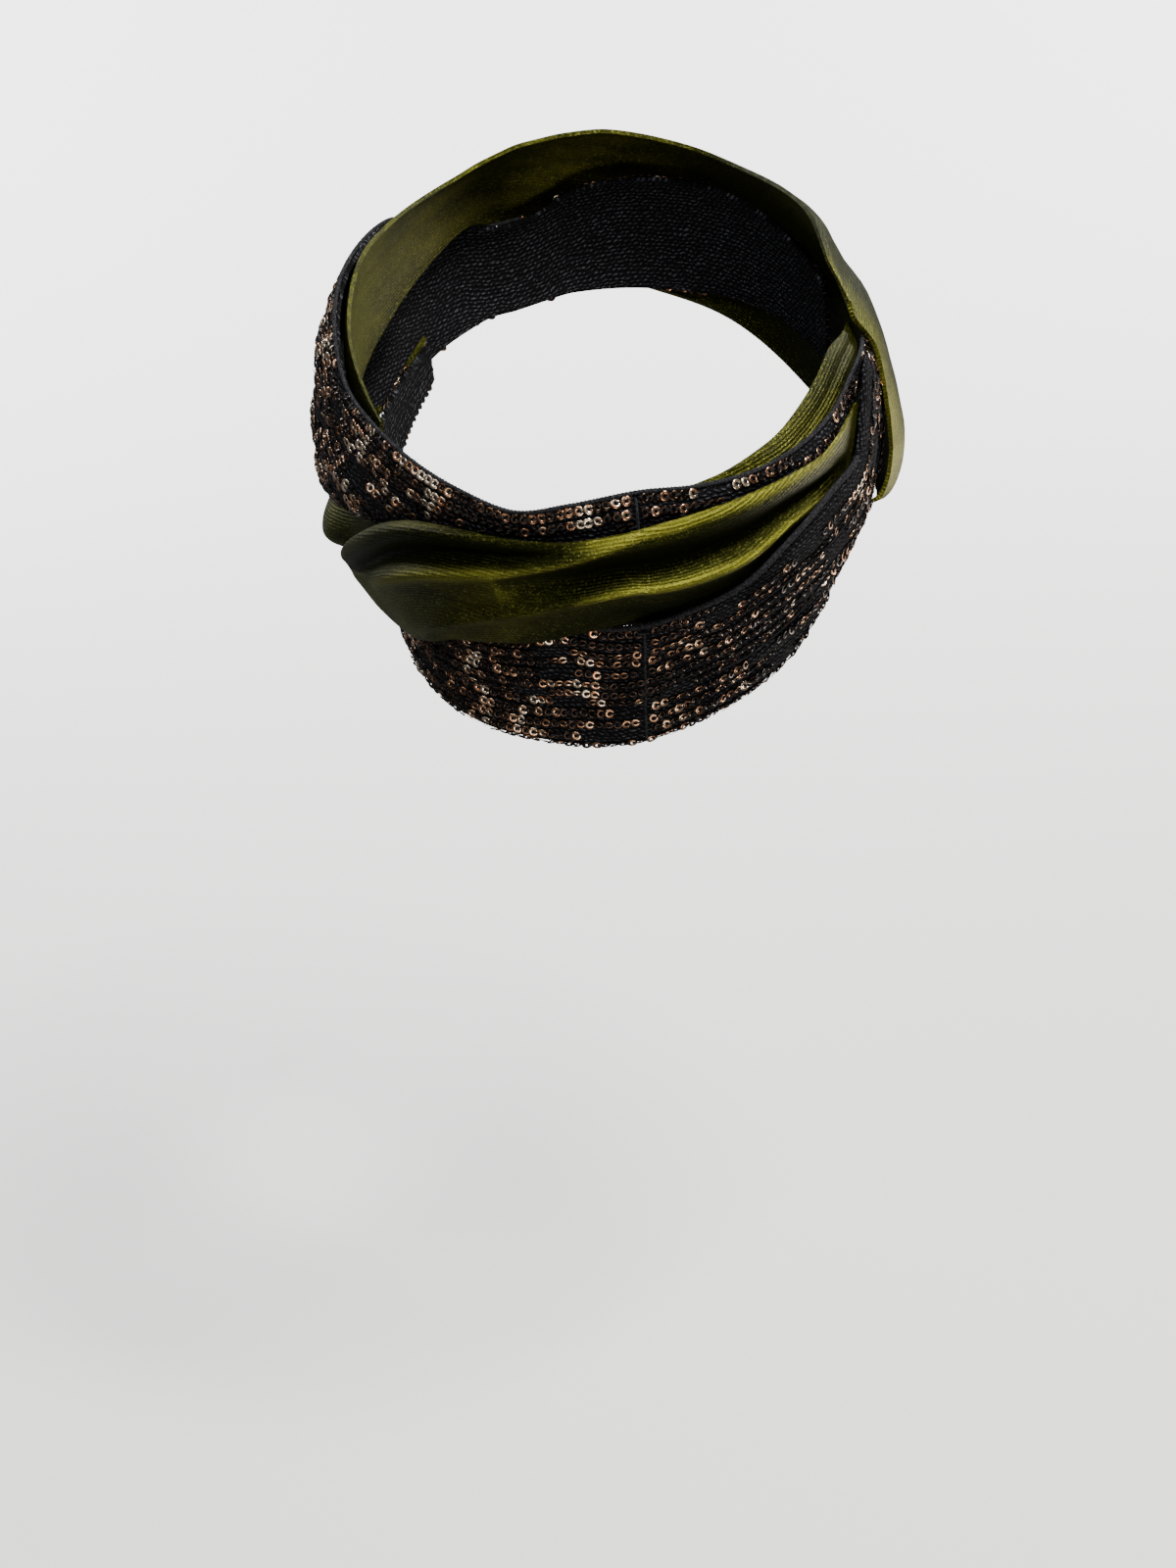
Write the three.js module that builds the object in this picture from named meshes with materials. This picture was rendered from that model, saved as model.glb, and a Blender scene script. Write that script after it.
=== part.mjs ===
// Turban headwrap of stretch velvet and sequin cloth, as it sits on a head.
// Frame: millimetres, +Z up, +Y to the wearer's front, +X to the wearer's right.
// The origin is the middle of the head that the wrap is worn on.
import * as THREE from 'three';

// Head that the wrap is shaped by: half width, half depth and height of the crown above its middle
const headHalfWidth = 75;
const headHalfDepth = 93;
const crownHeight = 82;

// Cloth walls and the air left between two layers that lie on each other
const velvetThickness = 1.4;
const sequinClothThickness = 1.2;
const layerGap = 0.6;

// Half of one layer of cloth with its air: the tables count how far a band stands out in these
const halfLayer = (Math.max(velvetThickness, sequinClothThickness) + layerGap) / 2;

// Reach of the wrap down the nape, in whose hundredths the tables hold their heights
const napeReach = 100;

// Girth of the head by height: height as a share of crown height, girth as a share of the full girth
const headOutline = [
  { height: -1.80, girth: 0.62 },
  { height: -1.46, girth: 0.62 },
  { height: -1.22, girth: 0.67 },
  { height: -1.04, girth: 0.74 },
  { height: -0.88, girth: 0.81 },
  { height: -0.73, girth: 0.88 },
  { height: -0.60, girth: 0.94 },
  { height: -0.37, girth: 0.985 },
  { height: -0.15, girth: 0.998 },
  { height: 0.00, girth: 1.00 },
  { height: 0.18, girth: 0.983 },
  { height: 0.37, girth: 0.931 },
  { height: 0.55, girth: 0.836 },
  { height: 0.73, girth: 0.682 },
  { height: 0.90, girth: 0.436 },
];

// Value of one column of a table at a place between its rows, smooth through every row
function along(rows, key, column, place) {
  const last = rows.length - 1;
  if (place <= rows[0][key]) return rows[0][column];
  if (place >= rows[last][key]) return rows[last][column];
  let i = 0;
  while (place > rows[i + 1][key]) i += 1;
  const slope = (j) => {
    const a = rows[Math.max(j - 1, 0)];
    const b = rows[Math.min(j + 1, last)];
    return (b[column] - a[column]) / (b[key] - a[key]);
  };
  const step = rows[i + 1][key] - rows[i][key];
  const t = (place - rows[i][key]) / step;
  const rise = t * t * (3 - 2 * t);
  const start = t * (1 - t) * (1 - t) * step * slope(i);
  const end = t * t * (t - 1) * step * slope(i + 1);
  return rows[i][column] * (1 - rise) + rows[i + 1][column] * rise + start + end;
}

// Point beside the head: degrees from the middle of the back towards the wearer's right,
// hundredths of the nape reach above the middle of the head, and half layers out from the head
function beside(degrees, height, halfLayers) {
  const z = napeReach * height / 100;
  const girth = along(headOutline, 'height', 'girth', z / crownHeight);
  const out = halfLayers * halfLayer;
  const angle = THREE.MathUtils.degToRad(degrees);
  const x = (headHalfWidth * girth + out) * Math.sin(angle);
  const y = -(headHalfDepth * girth + out) * Math.cos(angle);
  return new THREE.Vector3(x, y, z);
}

// Quarter round that a rolled edge follows, from 0 at the edge to 1 where the roll ends
function roll(fromEdge) {
  const s = Math.min(Math.max(fromEdge, 0), 1);
  return Math.sqrt(1 - (1 - s) * (1 - s));
}

// Height of the folds at a place: each is a smooth ridge or valley that fades at both ends
function foldHeight(folds, place, across) {
  let sum = 0;
  for (const f of folds) {
    const s = (place - f.from) / (f.to - f.from);
    if (s <= 0 || s >= 1) continue;
    const centre = f.start * (1 - s) * (1 - s) + 2 * f.middle * s * (1 - s) + f.end * s * s;
    const side = (across - centre) / f.wide;
    sum += f.rise * Math.sin(Math.PI * s) ** 0.6 * Math.exp(-side * side);
  }
  return sum;
}

// Outer face of a band of cloth at a place along it, from 0 at its low edge to 1 at its high edge
function bandPoint(rows, folds, place, across) {
  const at = (column) => along(rows, 'place', column, place);
  const mix = (low, high) => at(low) + (at(high) - at(low)) * across;
  const round = roll(across / at('lowRoll')) * roll((1 - across) / at('highRoll'));
  const layers = mix('lowOut', 'highOut') + at('full') * round + foldHeight(folds, place, across);
  const degrees = mix('lowAt', 'highAt') + at('belly') * 4 * across * (1 - across);
  return beside(degrees, mix('low', 'high'), layers);
}

// Closed shell between the outer face of a band and the same face moved in by the cloth
function clothBand({ rows, folds, thickness, alongSteps, acrossSteps }) {
  const points = [];
  const first = rows[0].place;
  const last = rows[rows.length - 1].place;
  for (let i = 0; i <= alongSteps; i += 1) {
    for (let j = 0; j <= acrossSteps; j += 1) {
      const even = j / acrossSteps;
      const crowded = 0.5 - 0.5 * Math.cos(Math.PI * even);
      const place = first + (last - first) * i / alongSteps;
      points.push(bandPoint(rows, folds, place, 0.5 * even + 0.5 * crowded));
    }
  }
  const index = (i, j) => {
    const row = Math.min(Math.max(i, 0), alongSteps);
    return row * (acrossSteps + 1) + Math.min(Math.max(j, 0), acrossSteps);
  };
  const count = points.length;
  for (let i = 0; i <= alongSteps; i += 1) {
    for (let j = 0; j <= acrossSteps; j += 1) {
      const forward = points[index(i + 1, j)].clone().sub(points[index(i - 1, j)]);
      const upward = points[index(i, j + 1)].clone().sub(points[index(i, j - 1)]);
      const outward = forward.cross(upward).normalize();
      points.push(points[index(i, j)].clone().addScaledVector(outward, -thickness));
    }
  }
  const faces = [];
  const quad = (a, b, c, d) => faces.push(a, b, c, a, c, d);
  const rim = (a, b) => quad(b, a, a + count, b + count);
  for (let i = 0; i < alongSteps; i += 1) {
    for (let j = 0; j < acrossSteps; j += 1) {
      const a = index(i, j);
      const b = index(i + 1, j);
      const c = index(i + 1, j + 1);
      const d = index(i, j + 1);
      quad(a, b, c, d);
      quad(a + count, d + count, c + count, b + count);
    }
    rim(index(i, 0), index(i + 1, 0));
    rim(index(i + 1, acrossSteps), index(i, acrossSteps));
  }
  for (let j = 0; j < acrossSteps; j += 1) {
    rim(index(0, j + 1), index(0, j));
    rim(index(alongSteps, j), index(alongSteps, j + 1));
  }
  const geometry = new THREE.BufferGeometry();
  const flat = points.flatMap((p) => [p.x, p.y, p.z]);
  geometry.setAttribute('position', new THREE.Float32BufferAttribute(flat, 3));
  geometry.setIndex(faces);
  geometry.computeVertexNormals();
  return geometry;
}

// Rows of a table from short lines: the heading names the columns
function table(heading, ...lines) {
  const columns = heading.split(' ');
  return lines.map((line) => Object.fromEntries(columns.map((name, i) => [name, line[i]])));
}

// Columns of a band: place along it; degrees, height and half layers out of its low and its high
// edge; fullness between them; share of the width rolled under at each edge; belly in degrees
const bandColumns = 'place lowAt low lowOut highAt high highOut full lowRoll highRoll belly';

// Columns of a fold: where it starts and ends along the band, where it lies across the band at its
// start, middle and end, its half width there, and how many half layers it stands up or sinks in
const foldColumns = 'from to start middle end wide rise';


// Sequin band across the nape: from the front left, round the back, up to the right temple
const napeRows = table(
  bandColumns,
  [-134, -134, -24, 3.2, -134, -10, 3.2, 0.6, 0.2, 0.2, 0],
  [-120, -120, -38, 3.2, -120, -20, 3.2, 0.7, 0.2, 0.2, 0],
  [-105, -105, -52, 3.2, -105, -32, 3.2, 0.8, 0.2, 0.2, 0],
  [-94, -94, -64, 3.6, -94, -44, 3.4, 0.8, 0.2, 0.2, 0],
  [-86, -86, -72, 8, -86, -52, 3.6, 1.4, 0.2, 0.3, 0],
  [-74, -76, -87, 14, -74, -60, 3.8, 2, 0.15, 0.4, 0],
  [-60, -63, -98, 15, -60, -66, 3.8, 2.6, 0.15, 0.45, 0],
  [-45, -47, -105, 12.4, -45, -66.5, 3.8, 3.2, 0.15, 0.45, 0],
  [-30, -31, -108, 8.5, -30, -67, 3.8, 3.4, 0.12, 0.45, 0],
  [-14, -14, -110, 6.5, -14, -63.5, 4.6, 3.2, 0.12, 0.4, 0],
  [-3, -3, -110.5, 5.6, -3, -65.6, 7.5, 3, 0.12, 0.25, 0],
  [6, 6, -110, 5.4, 6, -64.2, 11.4, 2.6, 0.12, 0.15, 0],
  [16, 17, -108, 5.4, 15, -61, 12.6, 2, 0.12, 0.12, 0],
  [29, 33, -105, 6, 27, -55.5, 13, 2, 0.15, 0.12, 0],
  [43, 51, -101, 7, 37, -43.5, 14.8, 2.4, 0.15, 0.12, 0],
  [55, 65, -95, 9, 47, -34.5, 14.6, 2.8, 0.2, 0.12, 0],
  [65, 77, -80, 11, 56, -28, 15, 2.6, 0.25, 0.15, 0],
  [75, 85, -58, 12.2, 60, -17, 14.2, 2.2, 0.3, 0.15, 0],
  [84, 89, -36, 12.4, 65, -5, 12.8, 2, 0.3, 0.15, 0],
  [92, 95, -16, 11.4, 71, -3, 11, 1.1, 0.3, 0.2, 0],
);
const napeFolds = table(
  foldColumns,
  [12, 95, 0.47, 0.1, 0.85, 0.055, -2.4],
  [18, 95, 0.22, 0.08, 0.5, 0.05, -1.6],
  [26, 95, 0.8, 0.62, 0.93, 0.045, -1.4],
  [-75, 30, 0.36, 0.42, 0.24, 0.06, -1.5],
  [-70, 24, 0.58, 0.7, 0.74, 0.055, -1.2],
);

// Sequin band along the top: from under the side band, over the front, the left side and the back
const upperRows = table(
  bandColumns,
  [-255, -255, -20, 2.6, -255, 8, 2.6, 1.2, 0.25, 0.25, 0],
  [-225, -225, -8, 2.8, -225, 30, 2.8, 1.8, 0.25, 0.25, 0],
  [-195, -195, -4, 3.2, -195, 36, 3.2, 1.8, 0.25, 0.25, 0],
  [-176, -176, -4, 3.8, -176, 32, 3.8, 1.8, 0.3, 0.3, 0],
  [-168, -168, -6, 4.6, -168, 26, 4.4, 1.8, 0.3, 0.3, 0],
  [-161, -161, -8, 6.2, -161, 23.3, 5.4, 2.4, 0.3, 0.3, 0],
  [-155, -155, -9, 7.6, -155, 23, 7.4, 3.2, 0.3, 0.3, 0],
  [-149, -149, -12, 8.8, -149, 27.5, 9.4, 3.6, 0.3, 0.3, 0],
  [-142, -142, -16, 9.8, -142, 27, 9.2, 4, 0.3, 0.4, 0],
  [-132, -132, -23, 10.6, -132, 32, 7.6, 4, 0.25, 0.5, 0],
  [-120, -120, -30, 11.8, -120, 35.5, 5.4, 4.2, 0.25, 0.8, 0],
  [-104, -104, -36, 12.8, -104, 32, 5, 4.6, 0.2, 0.9, 0],
  [-90, -90, -38, 13.2, -90, 25, 5.6, 6, 0.2, 0.8, 0],
  [-78, -78, -38, 12.2, -78, 14, 6.2, 4.8, 0.2, 0.5, 0],
  [-66, -66, -37, 9.8, -68, 2, 6.4, 3.8, 0.2, 0.35, 0],
  [-55, -56, -37, 8, -56, -6, 6.2, 2.4, 0.2, 0.35, 0],
  [-44, -44, -35.5, 6.6, -44, -14, 6, 1.8, 0.2, 0.3, 0],
  [-32, -32, -36.4, 6.2, -32, -21, 5.6, 1.6, 0.2, 0.35, 0],
  [-20, -20, -37.4, 5.3, -20, -26.5, 5.2, 1.2, 0.2, 0.4, 0],
  [-8, -8, -37.6, 5.5, -8, -24.5, 5.2, 1.2, 0.2, 0.4, 0],
  [6, 6, -37, 6.2, 6, -22, 5.6, 1.6, 0.2, 0.4, 0],
  [18, 18, -34.6, 6.6, 18, -23, 6, 1.6, 0.2, 0.4, 0],
  [30, 30, -31, 8, 30, -22.5, 7.6, 1.6, 0.2, 0.4, 0],
  [42, 43, -28, 9.2, 42, -19.2, 9, 1.4, 0.2, 0.4, 0],
  [54, 55, -22, 9.8, 54, -13.2, 9.6, 1.2, 0.2, 0.4, 0],
  [64, 66, -14, 9.8, 63, -6, 9.5, 0.7, 0.2, 0.4, 0],
  [74, 76, -9, 9.6, 73, -2.5, 9, 0.8, 0.2, 0.4, 0],
  [82, 84, -6, 9, 81, -1.5, 8.2, 0.6, 0.2, 0.4, 0],
);
const upperFolds = table(
  foldColumns,
  [-112, -44, 0.6, 0.55, 0.35, 0.09, -1.8],
  [-125, -50, 0.3, 0.22, 0.15, 0.07, -1.4],
);

// Velvet band that crosses the back from the left side up to the right temple
const mainRows = table(
  bandColumns,
  [-134, -134, -22, 5, -134, -8, 5, 1, 0.3, 0.3, 0],
  [-120, -120, -36, 5.2, -120, -22, 5.2, 1, 0.3, 0.3, 0],
  [-106, -106, -53, 5.4, -106, -41, 5.4, 1.2, 0.3, 0.3, 0],
  [-95, -95, -64, 5.6, -95, -55, 5.6, 1.2, 0.3, 0.3, 0],
  [-90, -89, -67, 8, -90, -59, 7.4, 1.8, 0.3, 0.3, 0],
  [-86, -85, -68, 13, -86, -58.5, 14.6, 3.4, 0.35, 0.25, 0],
  [-78, -76, -75, 14.6, -79, -54.5, 17.2, 3.4, 0.35, 0.2, 0],
  [-66, -64, -79.5, 13.2, -67, -44, 13.6, 3.4, 0.3, 0.15, 0],
  [-54, -53, -76.5, 12.8, -54, -35, 11.2, 3.8, 0.25, 0.1, 0],
  [-43, -43, -72.8, 11.4, -43, -31, 10.4, 3.8, 0.2, 0.08, 0],
  [-32, -32, -71.8, 10, -32, -31, 10.2, 3, 0.2, 0.08, 0],
  [-21, -21, -70.4, 9.2, -21, -33, 10, 2.6, 0.25, 0.12, 0],
  [-10, -10, -67, 8.8, -10, -34, 9.8, 2.6, 0.25, 0.2, 0],
  [2, 2, -64.8, 8.2, 2, -32.5, 9.8, 3, 0.25, 0.25, 0],
  [9, 9, -67, 7.8, 9, -31, 9.8, 3.2, 0.3, 0.28, 0],
  [16, 16, -67, 7.6, 16, -29.6, 10, 3.4, 0.3, 0.28, 0],
  [27, 27, -62.5, 7.6, 27, -27.5, 10.4, 3.6, 0.3, 0.28, 0],
  [38, 38, -50.5, 8, 38, -25, 11.4, 3.2, 0.4, 0.3, 0],
  [48, 49.5, -43, 10.2, 48, -22.5, 12.2, 2, 0.4, 0.35, 0],
  [56, 60, -38.5, 10.4, 56, -17, 12.2, 1.4, 0.4, 0.4, 0],
  [62, 68, -26, 11, 61.5, -13.2, 12.2, 0.6, 0.4, 0.4, 0],
);
const mainFolds = table(
  foldColumns,
  [-80, -10, 0.74, 0.72, 0.9, 0.075, -6],
  [-66, 6, 0.54, 0.6, 0.94, 0.065, 3.2],
  [-25, 54, 0.56, 0.78, 0.52, 0.12, -6],
  [-56, 48, 0, 0.68, 0.36, 0.065, 4.4],
  [-36, 20, 0.02, 0.24, 0.14, 0.09, -1.6],
);

// Velvet fold that lies against the head on the right, inside the upper sequin band
const innerRows = table(
  bandColumns,
  [10, 10, -34, 2.4, 10, -26, 2, 0.4, 0.3, 0.4, 0],
  [18, 18, -31, 3.4, 18, -23.4, 2, 0.8, 0.3, 0.5, 0],
  [26, 26, -30, 4.9, 26, -21.5, 2, 1, 0.3, 0.6, 0],
  [34, 34, -28, 6, 34, -18.5, 2, 1.2, 0.3, 0.6, 0],
  [42, 42, -26, 7, 42, -15, 2, 1.4, 0.3, 0.6, 0],
  [50, 50, -22, 7.7, 50, -9.5, 2, 1.4, 0.3, 0.6, 0],
  [58, 58, -17, 7.9, 57, -4.5, 2, 1.4, 0.3, 0.6, 0],
  [66, 67, -10, 8, 65, 1.5, 2.4, 1.4, 0.3, 0.6, 0],
  [74, 75, -6, 7, 73, 2.5, 3.4, 1.4, 0.3, 0.6, 0],
  [82, 83, -3, 5.4, 81, 3.5, 4.4, 1.2, 0.3, 0.6, 0],
);
const innerFolds = table(
  foldColumns,
  [44, 82, 0.55, 0.6, 0.62, 0.12, -0.8],
);

// Small velvet fold that shows between the upper sequin band and the main band on the left
const leftRows = table(
  bandColumns,
  [-115, -115, -42, 7.2, -115, -24, 6.6, 1.2, 0.3, 0.3, 0],
  [-105, -105, -53, 15, -105, -34.6, 6.8, 7, 0.3, 0.8, 0],
  [-95, -95, -59, 19, -95, -36.2, 7.8, 8, 0.3, 0.8, 0],
  [-86, -86, -57, 17.5, -86, -36.8, 7.6, 6.6, 0.3, 0.8, 0],
  [-77, -77, -54.5, 9, -77, -37, 6, 3.4, 0.35, 0.6, 0],
  [-66, -66, -46.5, 5.8, -66, -36, 6, 1.2, 0.3, 0.3, 0],
  [-56, -56, -41, 5, -56, -38.5, 5, 0.5, 0.3, 0.3, 0],
);
const leftFolds = [];

// Velvet band over the right side, the forehead and in behind the sequins on the left
const sideRows = table(
  bandColumns,
  [72, 71, -50, 16.4, 79, 11, 7.2, 5.4, 0.3, 0.62, 0],
  [78, 77, -52, 17, 85, 22, 2.8, 9, 0.35, 1, -1],
  [88, 87, -52, 15.6, 97, 32, 2.8, 10.4, 0.4, 1.5, -1],
  [104, 100, -48, 11.6, 112, 36, 4, 5, 0.4, 1.5, 0],
  [124, 122, -34, 9.4, 130, 41, 5, 3.2, 0.35, 1.2, 0],
  [146, 146, -15, 8.6, 148, 48, 6, 3.6, 0.3, 0.7, 0],
  [170, 170, -3, 8.8, 170, 54, 6.5, 4.4, 0.3, 0.4, 0],
  [184, 184, 8, 8.8, 184, 54, 6.5, 4.6, 0.3, 0.35, 0],
  [192, 192, 17, 8.9, 192, 53, 6.2, 3.8, 0.3, 0.35, 0],
  [199, 199, 21.5, 9, 199, 52, 5.8, 2.6, 0.3, 0.3, 0],
  [205, 205, 23.8, 7.6, 205, 50, 5.2, 1.8, 0.3, 0.3, 0],
  [211, 211, 24.5, 5.8, 211, 48, 4.6, 1.2, 0.3, 0.3, 0],
  [218, 218, 20, 4.6, 218, 45, 4, 1, 0.3, 0.3, 0],
  [230, 230, 10, 3.6, 230, 41, 3.4, 1, 0.3, 0.3, 0],
  [246, 246, -2, 3.2, 246, 36, 3, 0.8, 0.3, 0.3, 0],
  [262, 262, -10, 3, 262, 30, 3, 0.8, 0.3, 0.3, 0],
  [278, 278, -14, 3, 278, 16, 3, 0.8, 0.3, 0.3, 0],
  [292, 292, -17, 3, 292, 4, 3, 0.6, 0.3, 0.3, 0],
  [302, 302, -17, 3, 302, -6, 3, 0.4, 0.3, 0.3, 0],
);
const sideFolds = table(
  foldColumns,
  [56, 96, 0.95, 0.93, 0.8, 0.09, -3.4],
  [84, 200, 0.62, 0.6, 0.55, 0.08, -1.8],
  [80, 180, 0.34, 0.34, 0.3, 0.07, -1.6],
);

const velvet = { color: 0x4a5216, roughness: 0.75, metalness: 0 };
const sequinCloth = { color: 0x3a2a20, roughness: 0.5, metalness: 0.3 };

const group = new THREE.Group();
group.name = 'turban_headwrap';

// Band of cloth as a named mesh of the wrap
function addBand(name, finish, band) {
  const mesh = new THREE.Mesh(clothBand(band), new THREE.MeshStandardMaterial(finish));
  mesh.name = name;
  group.add(mesh);
}

addBand('sequin_nape_band', sequinCloth, {
  rows: napeRows, folds: napeFolds, thickness: sequinClothThickness, alongSteps: 54, acrossSteps: 12,
});
addBand('sequin_upper_band', sequinCloth, {
  rows: upperRows, folds: upperFolds, thickness: sequinClothThickness, alongSteps: 76, acrossSteps: 8,
});
addBand('velvet_main_band', velvet, {
  rows: mainRows, folds: mainFolds, thickness: velvetThickness, alongSteps: 48, acrossSteps: 14,
});
addBand('velvet_inner_fold', velvet, {
  rows: innerRows, folds: innerFolds, thickness: velvetThickness, alongSteps: 22, acrossSteps: 7,
});
addBand('velvet_left_fold', velvet, {
  rows: leftRows, folds: leftFolds, thickness: velvetThickness, alongSteps: 16, acrossSteps: 6,
});
addBand('velvet_side_band', velvet, {
  rows: sideRows, folds: sideFolds, thickness: velvetThickness, alongSteps: 54, acrossSteps: 9,
});

export default group;
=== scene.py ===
import math
import bpy
import numpy as np
from mathutils import Matrix, Vector
from mathutils.bvhtree import BVHTree


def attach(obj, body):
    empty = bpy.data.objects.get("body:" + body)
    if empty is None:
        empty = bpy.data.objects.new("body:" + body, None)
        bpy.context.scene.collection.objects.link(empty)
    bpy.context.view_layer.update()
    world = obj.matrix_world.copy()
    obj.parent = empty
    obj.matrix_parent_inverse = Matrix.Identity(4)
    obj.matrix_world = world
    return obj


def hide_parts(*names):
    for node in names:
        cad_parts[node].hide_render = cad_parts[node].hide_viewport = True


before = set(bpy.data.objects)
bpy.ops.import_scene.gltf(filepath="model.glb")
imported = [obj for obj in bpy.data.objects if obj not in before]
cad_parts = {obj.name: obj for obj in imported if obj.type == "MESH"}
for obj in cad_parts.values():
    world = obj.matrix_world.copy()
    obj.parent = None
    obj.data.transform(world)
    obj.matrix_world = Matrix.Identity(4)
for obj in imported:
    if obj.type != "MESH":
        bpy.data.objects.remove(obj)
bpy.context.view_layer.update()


# Sequin band across the nape: the ground cloth
# A wide strip of black stretch net. It is folded into soft pleats that fan down from the right
# temple, and it is tacked to the lower edge of the velvet that crosses the back above it.
MM = 0.001
HEAD_HALF_WIDTH = 75
HEAD_HALF_DEPTH = 93
CROWN_HEIGHT = 82
NAPE_REACH = 100
HALF_LAYER = 1.0
NET_WALL = 1.2


def table(heading, *lines):
    """Rows of numbers as named columns."""
    return dict(zip(heading.split(), np.array(lines, float).T))


HEAD_OUTLINE = table(
    "height girth",
    [-1.80, 0.62], [-1.46, 0.62], [-1.22, 0.67], [-1.04, 0.74], [-0.88, 0.81], [-0.73, 0.88],
    [-0.60, 0.94], [-0.37, 0.985], [-0.15, 0.998], [0.00, 1.00], [0.18, 0.983], [0.37, 0.931],
    [0.55, 0.836], [0.73, 0.682], [0.90, 0.436],
)
BAND = "place lowAt low lowOut highAt high highOut full lowRoll highRoll belly"
FOLD = "from to start middle end wide rise"

nape_rows = table(
    BAND,
    [-134, -134, -24, 3.2, -134, -10, 3.2, 0.6, 0.2, 0.2, 0],
    [-120, -120, -38, 3.2, -120, -20, 3.2, 0.7, 0.2, 0.2, 0],
    [-105, -105, -52, 3.2, -105, -32, 3.2, 0.8, 0.2, 0.2, 0],
    [-94, -94, -64, 3.6, -94, -44, 3.4, 0.8, 0.2, 0.2, 0],
    [-86, -86, -72, 8, -86, -52, 3.6, 1.4, 0.2, 0.3, 0],
    [-74, -76, -87, 14, -74, -60, 3.8, 2, 0.15, 0.4, 0],
    [-60, -63, -98, 15, -60, -66, 3.8, 2.6, 0.15, 0.45, 0],
    [-45, -47, -105, 12.4, -45, -66.5, 3.8, 3.2, 0.15, 0.45, 0],
    [-30, -31, -108, 8.5, -30, -67, 3.8, 3.4, 0.12, 0.45, 0],
    [-14, -14, -110, 6.5, -14, -63.5, 4.6, 3.2, 0.12, 0.4, 0],
    [-3, -3, -110.5, 5.6, -3, -65.6, 7.5, 3, 0.12, 0.25, 0],
    [6, 6, -110, 5.4, 6, -64.2, 11.4, 2.6, 0.12, 0.15, 0],
    [16, 17, -108, 5.4, 15, -61, 12.6, 2, 0.12, 0.12, 0],
    [29, 33, -105, 6, 27, -55.5, 13, 2, 0.15, 0.12, 0],
    [43, 51, -101, 7, 37, -43.5, 14.8, 2.4, 0.15, 0.12, 0],
    [55, 65, -95, 9, 47, -34.5, 14.6, 2.8, 0.2, 0.12, 0],
    [65, 77, -80, 11, 56, -28, 15, 2.6, 0.25, 0.15, 0],
    [75, 85, -58, 12.2, 60, -17, 14.2, 2.2, 0.3, 0.15, 0],
    [84, 89, -36, 12.4, 65, -5, 12.8, 2, 0.3, 0.15, 0],
    [92, 95, -16, 11.4, 71, -3, 11, 1.1, 0.3, 0.2, 0],
)
nape_folds = table(
    FOLD,
    [12, 95, 0.47, 0.1, 0.85, 0.055, -2.4],
    [18, 95, 0.22, 0.08, 0.5, 0.05, -1.6],
    [26, 95, 0.8, 0.62, 0.93, 0.045, -1.4],
    [-75, 30, 0.36, 0.42, 0.24, 0.06, -1.5],
    [-70, 24, 0.58, 0.7, 0.74, 0.055, -1.2],
)


def along(rows, key, column, place):
    """Value of one column at places between the rows, smooth through every row."""
    at, value = rows[key], rows[column]
    place = np.clip(place, at[0], at[-1])
    i = np.clip(np.searchsorted(at, place, side="right") - 1, 0, len(at) - 2)
    before = np.maximum(np.arange(len(at)) - 1, 0)
    after = np.minimum(np.arange(len(at)) + 1, len(at) - 1)
    slope = (value[after] - value[before]) / (at[after] - at[before])
    step = at[i + 1] - at[i]
    t = (place - at[i]) / step
    rise = t * t * (3 - 2 * t)
    start = t * (1 - t) ** 2 * step * slope[i]
    end = t * t * (t - 1) * step * slope[i + 1]
    return value[i] * (1 - rise) + value[i + 1] * rise + start + end


def beside(degrees, height, half_layers):
    """Point beside the head, in metres: degrees round from the middle of the back."""
    z = NAPE_REACH * height / 100
    girth = along(HEAD_OUTLINE, "height", "girth", z / CROWN_HEIGHT)
    out = half_layers * HALF_LAYER
    angle = np.radians(degrees)
    x = (HEAD_HALF_WIDTH * girth + out) * np.sin(angle)
    y = -(HEAD_HALF_DEPTH * girth + out) * np.cos(angle)
    return np.stack([x, y, z], -1) * MM


def roll(from_edge):
    """Quarter round of a rolled edge."""
    s = np.clip(from_edge, 0, 1)
    return np.sqrt(1 - (1 - s) ** 2)


def fold_line(folds, i, place):
    """Share along a fold, and where its middle lies across the band."""
    s = (place - folds["from"][i]) / (folds["to"][i] - folds["from"][i])
    s = np.clip(s, 0, 1)
    start, middle, end = folds["start"][i], folds["middle"][i], folds["end"][i]
    return s, start * (1 - s) ** 2 + 2 * middle * s * (1 - s) + end * s * s


def fold_height(folds, place, across):
    """Height of the folds, in half layers; from a table of painted light, the painted shade instead, below
    zero where it paints highlight.
    """
    total = 0 * place
    for i in range(len(folds["from"])):
        s, centre = fold_line(folds, i, place)
        side = (across - centre) / folds["wide"][i]
        total = total + folds["rise"][i] * np.sin(np.pi * s) ** 0.6 * np.exp(-side * side)
    return total


def gathers(place, across, count, rise, seed):
    """Small wrinkles that run along a band and drift across it, in half layers."""
    draw = np.random.default_rng(seed)
    around = np.radians(place)
    total = 0 * place
    for octave in range(5):
        waves = count * (0.6 + 0.35 * octave)
        drift = draw.uniform(-1, 1) * 3 * np.sin(around * draw.uniform(1, 3) + draw.uniform(0, 6))
        swell = 0.5 + 0.5 * np.sin(around * draw.uniform(3, 9) + draw.uniform(0, 6) + 4 * across)
        ripple = np.sin(waves * 2 * np.pi * across + drift + draw.uniform(0, 6))
        total = total + ripple * swell / (1 + octave)
    return rise * total * np.sin(np.pi * across) ** 0.5


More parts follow.
